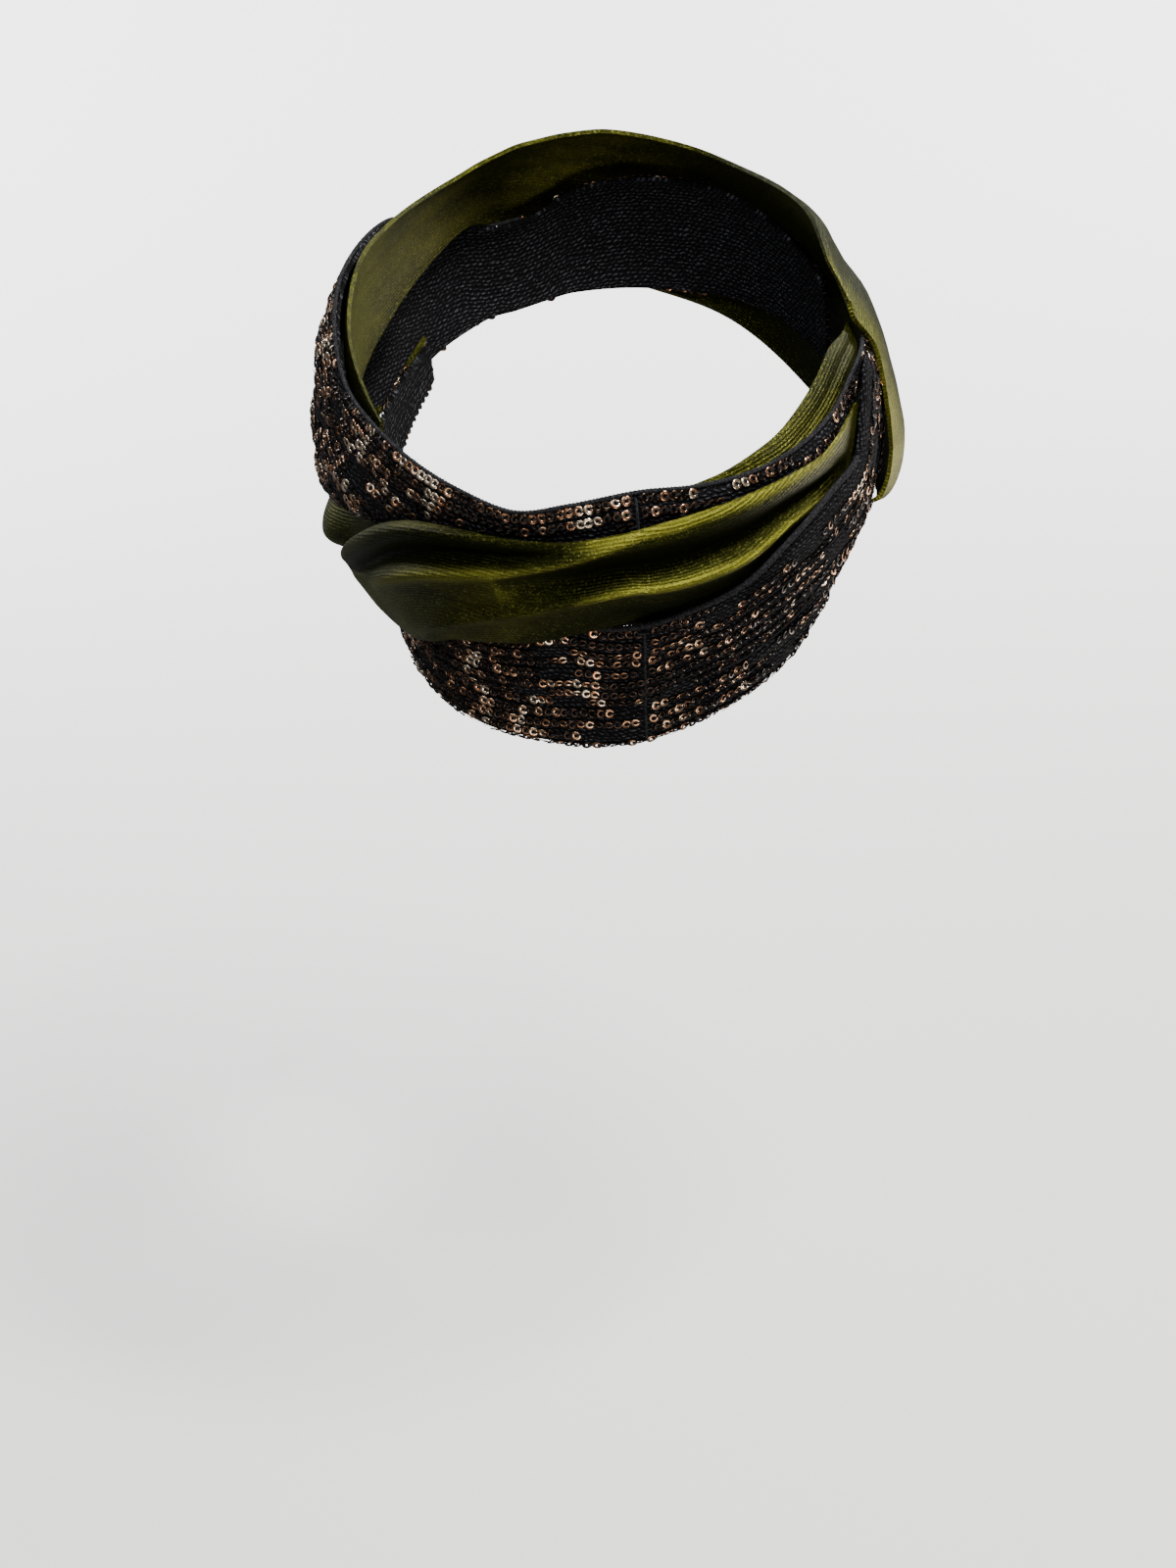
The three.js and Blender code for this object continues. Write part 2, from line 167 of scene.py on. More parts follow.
class Band:
    """A band of cloth lying round the head: its outer face can be asked for at any place."""

    # The last table, when given, paints shade and highlight on the band's colour.
    def __init__(self, rows, folds, wrinkles, painted_light_rows=None):
        self.rows, self.folds, self.wrinkles, self.painted_light_rows = rows, folds, wrinkles, painted_light_rows
        self.first, self.last = rows["place"][0], rows["place"][-1]

    def points(self, place, across):
        at = {column: along(self.rows, "place", column, place) for column in self.rows}
        edges = {"at": ("lowAt", "highAt"), "z": ("low", "high"), "out": ("lowOut", "highOut")}
        mixed = {name: at[low] + (at[high] - at[low]) * across for name, (low, high) in edges.items()}
        round_ = roll(across / at["lowRoll"]) * roll((1 - across) / at["highRoll"])
        out = mixed["out"] + at["full"] * round_ + fold_height(self.folds, place, across)
        out = out + gathers(place, across, *self.wrinkles)
        return beside(mixed["at"] + at["belly"] * 4 * across * (1 - across), mixed["z"], out)

    def grid(self, along_steps, across_steps):
        """Points of the outer face, closer together at the rolled edges, and their outward sides."""
        even = np.linspace(0, 1, across_steps + 1)
        across = 0.5 * even + 0.25 - 0.25 * np.cos(np.pi * even)
        places = np.linspace(self.first, self.last, along_steps + 1)
        place, across = np.meshgrid(places, across, indexing="ij")
        points = self.points(place, across)
        outward = np.cross(np.gradient(points, axis=0), np.gradient(points, axis=1))
        return points, outward / np.linalg.norm(outward, axis=-1, keepdims=True), place, across


def cloth_piece(name, band, wall, along_steps, across_steps):
    """Closed shell of cloth with rounded rims, and a map of it in metres called cloth."""
    points, outward, place, across = band.grid(along_steps, across_steps)
    layers = [points, points - outward * wall * MM]
    vertices = np.concatenate([layer.reshape(-1, 3) for layer in layers])
    index = np.arange(points.shape[0] * points.shape[1]).reshape(points.shape[:2])
    under = index + index.size

    def quads(a, b, c, d):
        return np.stack([a, b, c, d], -1).reshape(-1, 4)

    faces = np.concatenate([
        quads(index[:-1, :-1], index[1:, :-1], index[1:, 1:], index[:-1, 1:]),
        quads(under[:-1, :-1], under[:-1, 1:], under[1:, 1:], under[1:, :-1]),
        quads(index[1:, 0], index[:-1, 0], under[:-1, 0], under[1:, 0]),
        quads(index[:-1, -1], index[1:, -1], under[1:, -1], under[:-1, -1]),
        quads(index[0, :-1], index[0, 1:], under[0, 1:], under[0, :-1]),
        quads(index[-1, 1:], index[-1, :-1], under[-1, :-1], under[-1, 1:]),
    ])
    mesh = bpy.data.meshes.new(name)
    mesh.from_pydata(vertices.tolist(), [], faces.tolist())
    middle = points[:, points.shape[1] // 2]
    u = np.concatenate([[0], np.cumsum(np.linalg.norm(np.diff(middle, axis=0), axis=1))])
    v = np.cumsum(np.linalg.norm(np.diff(points, axis=1, prepend=points[:, :1]), axis=2), axis=1)
    flat = np.stack([np.broadcast_to(u[:, None], v.shape), v - v[:, -1:] / 2], -1).reshape(-1, 2)
    flat = np.concatenate([flat, flat])
    corners = np.empty(len(mesh.loops), int)
    mesh.loops.foreach_get("vertex_index", corners)
    mesh.uv_layers.new(name="cloth").data.foreach_set("uv", flat[corners].astype(np.float32).ravel())
    # Painted shade and painted highlight from the band's table, kept on its points for the velvet's
    # colour.
    if band.painted_light_rows:
        shade = fold_height(band.painted_light_rows, place, across).ravel()
        layer = mesh.attributes.new("pile_shade", "FLOAT", "POINT")
        layer.data.foreach_set("value", np.concatenate([shade, shade]).astype(np.float32))
    mesh.polygons.foreach_set("use_smooth", np.ones(len(mesh.polygons), bool))
    mesh.set_sharp_from_angle(angle=math.radians(70))
    piece = bpy.data.objects.new(name, mesh)
    bpy.context.scene.collection.objects.link(piece)
    return piece


class Wire:
    """Output of a material's node, which adds and multiplies like a number."""

    def __init__(self, tree, socket):
        self.tree, self.socket = tree, socket

    def maths(self, operation, first, second):
        node = self.tree.nodes.new("ShaderNodeMath")
        node.operation = operation
        for i, value in enumerate((first, second)):
            plug(self.tree, node.inputs[i], value)
        return Wire(self.tree, node.outputs[0])

    def __add__(self, other):
        return self.maths("ADD", self, other)

    __radd__ = __add__

    def __mul__(self, other):
        return self.maths("MULTIPLY", self, other)

    __rmul__ = __mul__

    def __sub__(self, other):
        return self.maths("SUBTRACT", self, other)

    def __rsub__(self, other):
        return self.maths("SUBTRACT", other, self)


def plug(tree, socket, value):
    if isinstance(value, Wire):
        tree.links.new(value.socket, socket)
    else:
        socket.default_value = value


class Finish:
    """A material: constants go on its shader, and what varies is wired to it."""

    def __init__(self, name, **constants):
        self.material = bpy.data.materials.new(name)
        self.material.use_nodes = True
        self.tree = self.material.node_tree
        self.shader = self.tree.nodes["Principled BSDF"]
        self.set(**constants)

    def set(self, **values):
        for name, value in values.items():
            plug(self.tree, self.shader.inputs[name.replace("_", " ")], value)

    def node(self, kind, settings, inputs, output=0):
        node = self.tree.nodes.new(kind)
        for name, value in settings.items():
            if name == "stops":
                ramp = node.color_ramp
                while len(ramp.elements) < len(value):
                    ramp.elements.new(1)
                for stop, (place, colour) in zip(ramp.elements, value):
                    stop.position, stop.color = place, (*colour, 1)
            else:
                setattr(node, name, value)
        for name, value in inputs.items():
            plug(self.tree, node.inputs[name], value)
        return Wire(self.tree, node.outputs[output])

    def mix(self, share, first, second, blend="MIX"):
        settings = {"data_type": "RGBA", "blend_type": blend, "clamp_factor": True}
        return self.node("ShaderNodeMix", settings, {0: share, 6: first, 7: second}, 2)

    def noise(self, place, scale, detail=2.0, roughness=0.5):
        settings = {"noise_dimensions": "3D"}
        inputs = {"Vector": place, "Scale": scale, "Detail": detail, "Roughness": roughness}
        return self.node("ShaderNodeTexNoise", settings, inputs)

    def waves(self, place, spacing, direction, distortion, inputs):
        """Straight bands a spacing apart, in millimetres, which wander by the distortion."""
        settings = {"wave_type": "BANDS", "bands_direction": direction, "wave_profile": "SIN"}
        scale = 1 / (spacing * MM) / BANDS_IN_A_UNIT
        inputs = {"Vector": place, "Scale": scale, "Distortion": distortion, **inputs}
        return self.node("ShaderNodeTexWave", settings, inputs, 1)

    def stretched(self, place, scale):
        return self.node("ShaderNodeVectorMath", {"operation": "MULTIPLY"}, {0: place, 1: scale})

    def bump(self, height, distance, strength, under=None):
        inputs = {"Height": height, "Distance": distance, "Strength": strength}
        if under:
            inputs["Normal"] = under
        return self.node("ShaderNodeBump", {}, inputs)

    def cloth_map(self):
        return self.node("ShaderNodeUVMap", {"uv_map": "cloth"}, {})

    def object_place(self):
        return self.node("ShaderNodeTexCoord", {}, {}, 3)


BANDS_IN_A_UNIT = 3.18
NET_ROW = 1.5
NET_LOOP = 1.1

net = Finish("black_net", Roughness=0.95, Specular_IOR_Level=0.08)
net_map = net.cloth_map()
net_place = net.object_place()
net_drift = net.noise(net_place, 260, 2)
net_rows = net.waves(net_map, NET_ROW, "Y", 5.0, {"Detail": 1.0, "Detail Scale": 1.2})
net_loops = net.waves(net_map, NET_LOOP, "DIAGONAL", 4.5, {"Detail": 1.0, "Detail Scale": 1.6})
net_fuzz = net.noise(net_place, 1500, 3)
net_yarn = net_rows * 0.55 + net_loops * 0.45
# The yarn's own near-black, with its pale blue-grey top painted as highlight on the crests of the yarn
# loops.
net_yarn_and_painted_highlights = net.node("ShaderNodeValToRGB", {"stops": (
    (0.0, (0.0010, 0.0010, 0.0012)), (0.50, (0.0028, 0.0028, 0.0034)), (0.78, (0.016, 0.017, 0.020)),
    (1.0, (0.085, 0.088, 0.104)))}, {0: net_yarn * (net_fuzz + 0.5)})
net_shaded = net.mix(net_drift * 1.6 - 0.4, net_yarn_and_painted_highlights, (0.0025, 0.0025, 0.003, 1))
net_height = net.bump(net_fuzz, 0.4 * MM, 0.5, net.bump(net_yarn, 0.6 * MM, 0.9))
net.set(Base_Color=net_shaded, Normal=net_height)

nape_band = Band(nape_rows, nape_folds, (7, 0.10, 11))
nape_cloth = cloth_piece("nape_band_cloth", nape_band, NET_WALL, 380, 48)
nape_cloth.data.materials.append(net.material)
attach(nape_cloth, "root")
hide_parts("sequin_nape_band")


# Sequin band along the top: the ground cloth
# The same sequinned net, doubled over a soft edge. It comes out from under the velvet at the right,
# passes over the forehead and the left side, and narrows to three rows at the middle of the back.
upper_rows = table(
    BAND,
    [-255, -255, -20, 2.6, -255, 8, 2.6, 1.2, 0.25, 0.25, 0],
    [-225, -225, -8, 2.8, -225, 30, 2.8, 1.8, 0.25, 0.25, 0],
    [-195, -195, -4, 3.2, -195, 36, 3.2, 1.8, 0.25, 0.25, 0],
    [-176, -176, -4, 3.8, -176, 32, 3.8, 1.8, 0.3, 0.3, 0],
    [-168, -168, -6, 4.6, -168, 26, 4.4, 1.8, 0.3, 0.3, 0],
    [-161, -161, -8, 6.2, -161, 23.3, 5.4, 2.4, 0.3, 0.3, 0],
    [-155, -155, -9, 7.6, -155, 23, 7.4, 3.2, 0.3, 0.3, 0],
    [-149, -149, -12, 8.8, -149, 27.5, 9.4, 3.6, 0.3, 0.3, 0],
    [-142, -142, -16, 9.8, -142, 27, 9.2, 4, 0.3, 0.4, 0],
    [-132, -132, -23, 10.6, -132, 32, 7.6, 4, 0.25, 0.5, 0],
    [-120, -120, -30, 11.8, -120, 35.5, 5.4, 4.2, 0.25, 0.8, 0],
    [-104, -104, -36, 12.8, -104, 32, 5, 4.6, 0.2, 0.9, 0],
    [-90, -90, -38, 13.2, -90, 25, 5.6, 6, 0.2, 0.8, 0],
    [-78, -78, -38, 12.2, -78, 14, 6.2, 4.8, 0.2, 0.5, 0],
    [-66, -66, -37, 9.8, -68, 2, 6.4, 3.8, 0.2, 0.35, 0],
    [-55, -56, -37, 8, -56, -6, 6.2, 2.4, 0.2, 0.35, 0],
    [-44, -44, -35.5, 6.6, -44, -14, 6, 1.8, 0.2, 0.3, 0],
    [-32, -32, -36.4, 6.2, -32, -21, 5.6, 1.6, 0.2, 0.35, 0],
    [-20, -20, -37.4, 5.3, -20, -26.5, 5.2, 1.2, 0.2, 0.4, 0],
    [-8, -8, -37.6, 5.5, -8, -24.5, 5.2, 1.2, 0.2, 0.4, 0],
    [6, 6, -37, 6.2, 6, -22, 5.6, 1.6, 0.2, 0.4, 0],
    [18, 18, -34.6, 6.6, 18, -23, 6, 1.6, 0.2, 0.4, 0],
    [30, 30, -31, 8, 30, -22.5, 7.6, 1.6, 0.2, 0.4, 0],
    [42, 43, -28, 9.2, 42, -19.2, 9, 1.4, 0.2, 0.4, 0],
    [54, 55, -22, 9.8, 54, -13.2, 9.6, 1.2, 0.2, 0.4, 0],
    [64, 66, -14, 9.8, 63, -6, 9.5, 0.7, 0.2, 0.4, 0],
    [74, 76, -9, 9.6, 73, -2.5, 9, 0.8, 0.2, 0.4, 0],
    [82, 84, -6, 9, 81, -1.5, 8.2, 0.6, 0.2, 0.4, 0],
)
upper_folds = table(
    FOLD,
    [-112, -44, 0.6, 0.55, 0.35, 0.09, -1.8],
    [-125, -50, 0.3, 0.22, 0.15, 0.07, -1.4],
)
upper_band = Band(upper_rows, upper_folds, (5, 0.10, 12))
upper_cloth = cloth_piece("upper_band_cloth", upper_band, NET_WALL, 560, 32)
upper_cloth.data.materials.append(net.material)
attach(upper_cloth, "root")
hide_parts("sequin_upper_band")


# Velvet band that crosses the back
# A wide strip of olive stretch velvet, a knitted cloth with a short shiny pile. It is rolled over
# at its top, creased into a second ridge, and sags in a soft bulge over the band at the nape.
VELVET_WALL = 1.4
main_rows = table(
    BAND,
    [-134, -134, -22, 5, -134, -8, 5, 1, 0.3, 0.3, 0],
    [-120, -120, -36, 5.2, -120, -22, 5.2, 1, 0.3, 0.3, 0],
    [-106, -106, -53, 5.4, -106, -41, 5.4, 1.2, 0.3, 0.3, 0],
    [-95, -95, -64, 5.6, -95, -55, 5.6, 1.2, 0.3, 0.3, 0],
    [-90, -89, -67, 8, -90, -59, 7.4, 1.8, 0.3, 0.3, 0],
    [-86, -85, -68, 13, -86, -58.5, 14.6, 3.4, 0.35, 0.25, 0],
    [-78, -76, -75, 14.6, -79, -54.5, 17.2, 3.4, 0.35, 0.2, 0],
    [-66, -64, -79.5, 13.2, -67, -44, 13.6, 3.4, 0.3, 0.15, 0],
    [-54, -53, -76.5, 12.8, -54, -35, 11.2, 3.8, 0.25, 0.1, 0],
    [-43, -43, -72.8, 11.4, -43, -31, 10.4, 3.8, 0.2, 0.08, 0],
    [-32, -32, -71.8, 10, -32, -31, 10.2, 3, 0.2, 0.08, 0],
    [-21, -21, -70.4, 9.2, -21, -33, 10, 2.6, 0.25, 0.12, 0],
    [-10, -10, -67, 8.8, -10, -34, 9.8, 2.6, 0.25, 0.2, 0],
    [2, 2, -64.8, 8.2, 2, -32.5, 9.8, 3, 0.25, 0.25, 0],
    [9, 9, -67, 7.8, 9, -31, 9.8, 3.2, 0.3, 0.28, 0],
    [16, 16, -67, 7.6, 16, -29.6, 10, 3.4, 0.3, 0.28, 0],
    [27, 27, -62.5, 7.6, 27, -27.5, 10.4, 3.6, 0.3, 0.28, 0],
    [38, 38, -50.5, 8, 38, -25, 11.4, 3.2, 0.4, 0.3, 0],
    [48, 49.5, -43, 10.2, 48, -22.5, 12.2, 2, 0.4, 0.35, 0],
    [56, 60, -38.5, 10.4, 56, -17, 12.2, 1.4, 0.4, 0.4, 0],
    [62, 68, -26, 11, 61.5, -13.2, 12.2, 0.6, 0.4, 0.4, 0],
)
main_folds = table(
    FOLD,
    [-80, -10, 0.74, 0.72, 0.9, 0.075, -6],
    [-66, 6, 0.54, 0.6, 0.94, 0.065, 3.2],
    [-25, 54, 0.56, 0.78, 0.52, 0.12, -6],
    [-56, 48, 0, 0.68, 0.36, 0.065, 4.4],
    [-36, 20, 0.02, 0.24, 0.14, 0.09, -1.6],
)
RIB = 1.15
# Below, the near-black is painted shade in the creases and hollows and also the dark of the grain, the
# pale olive is painted on the lit crests and also reached by the crushed pile's own pale patches, and the
# last is a painted glint of the pile.
DARK_GRAIN_AND_PAINTED_SHADE = (0.004, 0.005, 0.001, 1)
PILE_OLIVE = (0.022, 0.025, 0.0024, 1)
PALE_PILE_AND_PAINTED_LIT = (0.20, 0.20, 0.024, 1)
PAINTED_PILE_GLINT = (0.30, 0.30, 0.06, 1)

velvet = Finish("olive_velvet", Metallic=0.86, Sheen_Weight=0.05, Sheen_Roughness=0.30,
                Sheen_Tint=(0.60, 0.66, 0.12, 1), Specular_IOR_Level=0.08)
velvet_map = velvet.cloth_map()
velvet_place = velvet.object_place()
# Painted shade kept on the band's points, below zero where it paints highlight.
pile_shade = velvet.node("ShaderNodeAttribute", {"attribute_name": "pile_shade"}, {}, 2)
crushed = velvet.noise(velvet.stretched(velvet_map, (28, 95, 1)), 1, 4, 0.6)
pile = velvet.noise(velvet_place, 2600, 2, 0.6)
rib = velvet.waves(velvet_map, RIB, "Y", 1.2, {"Detail Scale": 0.3})
# The crushed pile's own patches, lifted to the pale olive as painted highlight on the crests and held dark
# under painted shade.
crushed_and_painted_light = velvet.mix(crushed * 1.5 - 0.58 - 1.5 * pile_shade, PILE_OLIVE, PALE_PILE_AND_PAINTED_LIT)
# Painted shade in the creases and hollows.
with_painted_shade = velvet.mix(pile_shade * 1.1, crushed_and_painted_light, DARK_GRAIN_AND_PAINTED_SHADE)
parted = velvet.mix(pile * 1.3 - 0.32 + rib * 0.34, with_painted_shade, DARK_GRAIN_AND_PAINTED_SHADE)
# Painted glints of the pile, kept out of the painted shade.
sparkle = velvet.noise(velvet_place, 1700, 1, 0.5)
outside_painted_shade = velvet.node("ShaderNodeClamp", {}, {"Value": 0.8 - pile_shade})
with_painted_glints = velvet.mix((sparkle - 0.55) * 2.6 * outside_painted_shade, parted, PAINTED_PILE_GLINT)
velvet_relief = velvet.bump(pile, 0.5 * MM, 0.55, velvet.bump(rib, 0.3 * MM, 0.4))
velvet.set(Base_Color=with_painted_glints, Roughness=0.26 + 0.26 * pile, Normal=velvet_relief)

# Painted shade and painted highlight on the velvet band, in the columns of a fold: positive rises paint
# shade in the hollow under the flap, between the ridges and low down under the lower crest, and negative
# rises paint highlights along the crests.
main_painted_light = table(
    FOLD,
    [-82, -4, 0.80, 0.78, 0.98, 0.085, 1.7],
    [-25, 58, 0.64, 0.84, 0.62, 0.13, 1.3],
    [-26, 62, -0.10, 0.46, 0.10, 0.20, 0.95],
    [-66, 6, 0.54, 0.60, 0.94, 0.04, -0.9],
    [-40, 66, 0.92, 0.97, 0.96, 0.05, -0.7],
    [-8, 50, 0.42, 0.53, 0.36, 0.045, -1.1],
)
main_band = Band(main_rows, main_folds, (3, 0.09, 21), main_painted_light)
main_cloth = cloth_piece("main_band_velvet", main_band, VELVET_WALL, 340, 56)
main_cloth.data.materials.append(velvet.material)
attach(main_cloth, "root")
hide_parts("velvet_main_band")


# Velvet fold against the head on the right
# The turned-in edge of the velvet, which stands up behind the top band of sequins and leans on
# the head. Its bright outer face is smooth, and its inner face is creased where it is drawn in.
inner_rows = table(
    BAND,
    [10, 10, -34, 2.4, 10, -26, 2, 0.4, 0.3, 0.4, 0],
    [18, 18, -31, 3.4, 18, -23.4, 2, 0.8, 0.3, 0.5, 0],
    [26, 26, -30, 4.9, 26, -21.5, 2, 1, 0.3, 0.6, 0],
    [34, 34, -28, 6, 34, -18.5, 2, 1.2, 0.3, 0.6, 0],
    [42, 42, -26, 7, 42, -15, 2, 1.4, 0.3, 0.6, 0],
    [50, 50, -22, 7.7, 50, -9.5, 2, 1.4, 0.3, 0.6, 0],
    [58, 58, -17, 7.9, 57, -4.5, 2, 1.4, 0.3, 0.6, 0],
    [66, 67, -10, 8, 65, 1.5, 2.4, 1.4, 0.3, 0.6, 0],
    [74, 75, -6, 7, 73, 2.5, 3.4, 1.4, 0.3, 0.6, 0],
    [82, 83, -3, 5.4, 81, 3.5, 4.4, 1.2, 0.3, 0.6, 0],
)
inner_folds = table(
    FOLD,
    [44, 82, 0.55, 0.6, 0.62, 0.12, -0.8],
)
inner_band = Band(inner_rows, inner_folds, (2, 0.04, 22))
inner_cloth = cloth_piece("inner_fold_velvet", inner_band, VELVET_WALL, 150, 26)
inner_cloth.data.materials.append(velvet.material)
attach(inner_cloth, "root")
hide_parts("velvet_inner_fold")


# Small velvet fold on the left
# The end of the velvet, tucked between the two bands of sequins. Only its rounded low edge shows.
left_rows = table(
    BAND,
    [-115, -115, -42, 7.2, -115, -24, 6.6, 1.2, 0.3, 0.3, 0],
    [-105, -105, -53, 15, -105, -34.6, 6.8, 7, 0.3, 0.8, 0],
    [-95, -95, -59, 19, -95, -36.2, 7.8, 8, 0.3, 0.8, 0],
    [-86, -86, -57, 17.5, -86, -36.8, 7.6, 6.6, 0.3, 0.8, 0],
    [-77, -77, -54.5, 9, -77, -37, 6, 3.4, 0.35, 0.6, 0],
    [-66, -66, -46.5, 5.8, -66, -36, 6, 1.2, 0.3, 0.3, 0],
    [-56, -56, -41, 5, -56, -38.5, 5, 0.5, 0.3, 0.3, 0],
)
left_band = Band(left_rows, table(FOLD, [-100, -60, 0.5, 0.5, 0.5, 0.2, 0.2]), (2, 0.12, 23))
left_cloth = cloth_piece("left_fold_velvet", left_band, VELVET_WALL, 110, 26)
left_cloth.data.materials.append(velvet.material)
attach(left_cloth, "root")
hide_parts("velvet_left_fold")


# Velvet band over the right side and the forehead
# The same velvet drawn tight over the ear in a smooth puff with long taut creases. It goes on over
# the forehead, crosses the sequins there, and lines the left side behind them.
side_rows = table(
    BAND,
    [72, 71, -50, 16.4, 79, 11, 7.2, 5.4, 0.3, 0.62, 0],
    [78, 77, -52, 17, 85, 22, 2.8, 9, 0.35, 1, -1],
    [88, 87, -52, 15.6, 97, 32, 2.8, 10.4, 0.4, 1.5, -1],
    [104, 100, -48, 11.6, 112, 36, 4, 5, 0.4, 1.5, 0],
    [124, 122, -34, 9.4, 130, 41, 5, 3.2, 0.35, 1.2, 0],
    [146, 146, -15, 8.6, 148, 48, 6, 3.6, 0.3, 0.7, 0],
    [170, 170, -3, 8.8, 170, 54, 6.5, 4.4, 0.3, 0.4, 0],
    [184, 184, 8, 8.8, 184, 54, 6.5, 4.6, 0.3, 0.35, 0],
    [192, 192, 17, 8.9, 192, 53, 6.2, 3.8, 0.3, 0.35, 0],
    [199, 199, 21.5, 9, 199, 52, 5.8, 2.6, 0.3, 0.3, 0],
    [205, 205, 23.8, 7.6, 205, 50, 5.2, 1.8, 0.3, 0.3, 0],
    [211, 211, 24.5, 5.8, 211, 48, 4.6, 1.2, 0.3, 0.3, 0],
    [218, 218, 20, 4.6, 218, 45, 4, 1, 0.3, 0.3, 0],
    [230, 230, 10, 3.6, 230, 41, 3.4, 1, 0.3, 0.3, 0],
    [246, 246, -2, 3.2, 246, 36, 3, 0.8, 0.3, 0.3, 0],
    [262, 262, -10, 3, 262, 30, 3, 0.8, 0.3, 0.3, 0],
    [278, 278, -14, 3, 278, 16, 3, 0.8, 0.3, 0.3, 0],
    [292, 292, -17, 3, 292, 4, 3, 0.6, 0.3, 0.3, 0],
    [302, 302, -17, 3, 302, -6, 3, 0.4, 0.3, 0.3, 0],
)
side_folds = table(
    FOLD,
    [56, 96, 0.95, 0.93, 0.8, 0.09, -3.4],
    [84, 200, 0.62, 0.6, 0.55, 0.08, -1.8],
    [80, 180, 0.34, 0.34, 0.3, 0.07, -1.6],
)
# Painted shade over the middle of the puff, and a painted highlight where it begins.
side_painted_light = table(
    FOLD,
    [73, 150, 0.45, 0.45, 0.45, 0.6, 0.8],
    [64, 82, 0.30, 0.40, 0.50, 0.7, -0.5],
)
side_band = Band(side_rows, side_folds, (4, 0.12, 24), side_painted_light)
side_cloth = cloth_piece("side_band_velvet", side_band, VELVET_WALL, 380, 40)
side_cloth.data.materials.append(velvet.material)
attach(side_cloth, "root")
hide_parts("velvet_side_band")


# Sequins
# Thin round foils of brown and champagne metal, about 3 mm across with a small hole. They are sewn
# on in rows, by a black thread from the hole to the rim, and here and there a short run is bare.
SEQUIN_ACROSS = 3.2
SEQUIN_HOLE = 1.15
SEQUIN_FOIL = 0.14
SEQUIN_PITCH = 2.8
SEQUIN_SIDES = 14
ROW_SPACING = 4.0
RUN_LENGTH = 4
BARE_RUNS = 0.12
SEQUIN_LIFT = 0.45
SEQUIN_LEAN = 8
SEQUIN_WOBBLE = 15
STITCH_THREAD = 0.45
UNEVEN_PITCH = 0.12
CLEAR_OF_EDGE = 0.8
COVERED_WITHIN = 3.0
SEAM_DEGREES = 5.5
SEAM_CLEAR = 1.3
NAPE_BARE = ((8, 22, 36, 60, 76, 92), (0, 2.5, 5.5, 5.5, 3, 2))


def row_points(band, depths, from_top, pitch, seed, bare=None):
    """Places of the sequins of a band's rows: points, outward sides and directions along the row."""
    draw = np.random.default_rng(seed)
    points, outward, place, across = band.grid(900, 120)
    steps = np.linalg.norm(np.diff(points, axis=1, prepend=points[:, :1]), axis=2)
    low = np.cumsum(steps, axis=1) / MM
    width = low[:, -1:]
    measure = width - low if from_top else low
    found = []
    for depth in depths:
        wanted = depth if from_top else depth * width[:, 0]
        if from_top:
            inside = (width[:, 0] - depth) > CLEAR_OF_EDGE
        else:
            inside = width[:, 0] * (1 - depth) > np.interp(place[:, 0], *bare)
        order = slice(None, None, -1) if from_top else slice(None)
        share = np.array([np.interp(w, m[order], np.arange(m.size)[order]) for w, m in
                          zip(np.broadcast_to(wanted, len(points)), measure)])
        i = np.clip(share.astype(int), 0, points.shape[1] - 2)
        t = (share - i)[:, None]
        k = np.arange(len(points))
        line = points[k, i] * (1 - t) + points[k, i + 1] * t
        side = outward[k, i] * (1 - t) + outward[k, i + 1] * t
        travel = np.concatenate([[0], np.cumsum(np.linalg.norm(np.diff(line, axis=0), axis=1))]) / MM
        stops = np.arange(draw.uniform(0, pitch), travel[-1], pitch)
        stops = stops + draw.normal(0, UNEVEN_PITCH, len(stops))
        at = np.interp(stops, travel, k)
        sewn_run = np.repeat(draw.random(len(at) // RUN_LENGTH + 1) > BARE_RUNS, RUN_LENGTH)[:len(at)]
        keep = sewn_run & inside[np.clip(at.astype(int), 0, len(points) - 1)]
        at = at[keep]
        j = np.clip(at.astype(int), 0, len(points) - 2)
        s = (at - j)[:, None]
        found.append(np.concatenate([
            line[j] * (1 - s) + line[j + 1] * s,
            side[j] * (1 - s) + side[j + 1] * s,
            line[j + 1] - line[j],
            (place[j, 0] + (place[j + 1, 0] - place[j, 0]) * s[:, 0])[:, None],
        ], axis=1))
    return np.concatenate(found)


def shell_tree(pieces):
    """Search tree of the triangles of several pieces."""
    vertices, faces = [], []
    for piece in pieces:
        start = len(vertices)
        vertices.extend(v.co.copy() for v in piece.data.vertices)
        faces.extend([start + i for i in p.vertices] for p in piece.data.polygons)
    return BVHTree.FromPolygons(vertices, faces)


def uncovered(rows, others):
    """Rows whose sequins lie under no other band."""
    tree = shell_tree(others)
    keep = []
    for row in rows:
        side = Vector(row[3:6]).normalized()
        start = Vector(row[0:3]) + side * 0.05 * MM
        keep.append(tree.ray_cast(start, side, COVERED_WITHIN * MM)[0] is None)
    keep = np.array(keep)
    off_seam = abs(np.radians(rows[:, 9] - SEAM_DEGREES)) * HEAD_HALF_DEPTH > SEAM_CLEAR
    return rows[keep & off_seam]


def points_object(name, rows, lift):
    """Loose points with the sides and directions that the nodes read."""
    mesh = bpy.data.meshes.new(name)
    side = rows[:, 3:6] / np.linalg.norm(rows[:, 3:6], axis=1, keepdims=True)
    mesh.from_pydata((rows[:, :3] + side * lift * MM).tolist(), [], [])
    for label, value in (("out", side), ("ahead", rows[:, 6:9])):
        layer = mesh.attributes.new(label, "FLOAT_VECTOR", "POINT")
        layer.data.foreach_set("vector", value.astype(np.float32).ravel())
    holder = bpy.data.objects.new(name, mesh)
    bpy.context.scene.collection.objects.link(holder)
    return holder


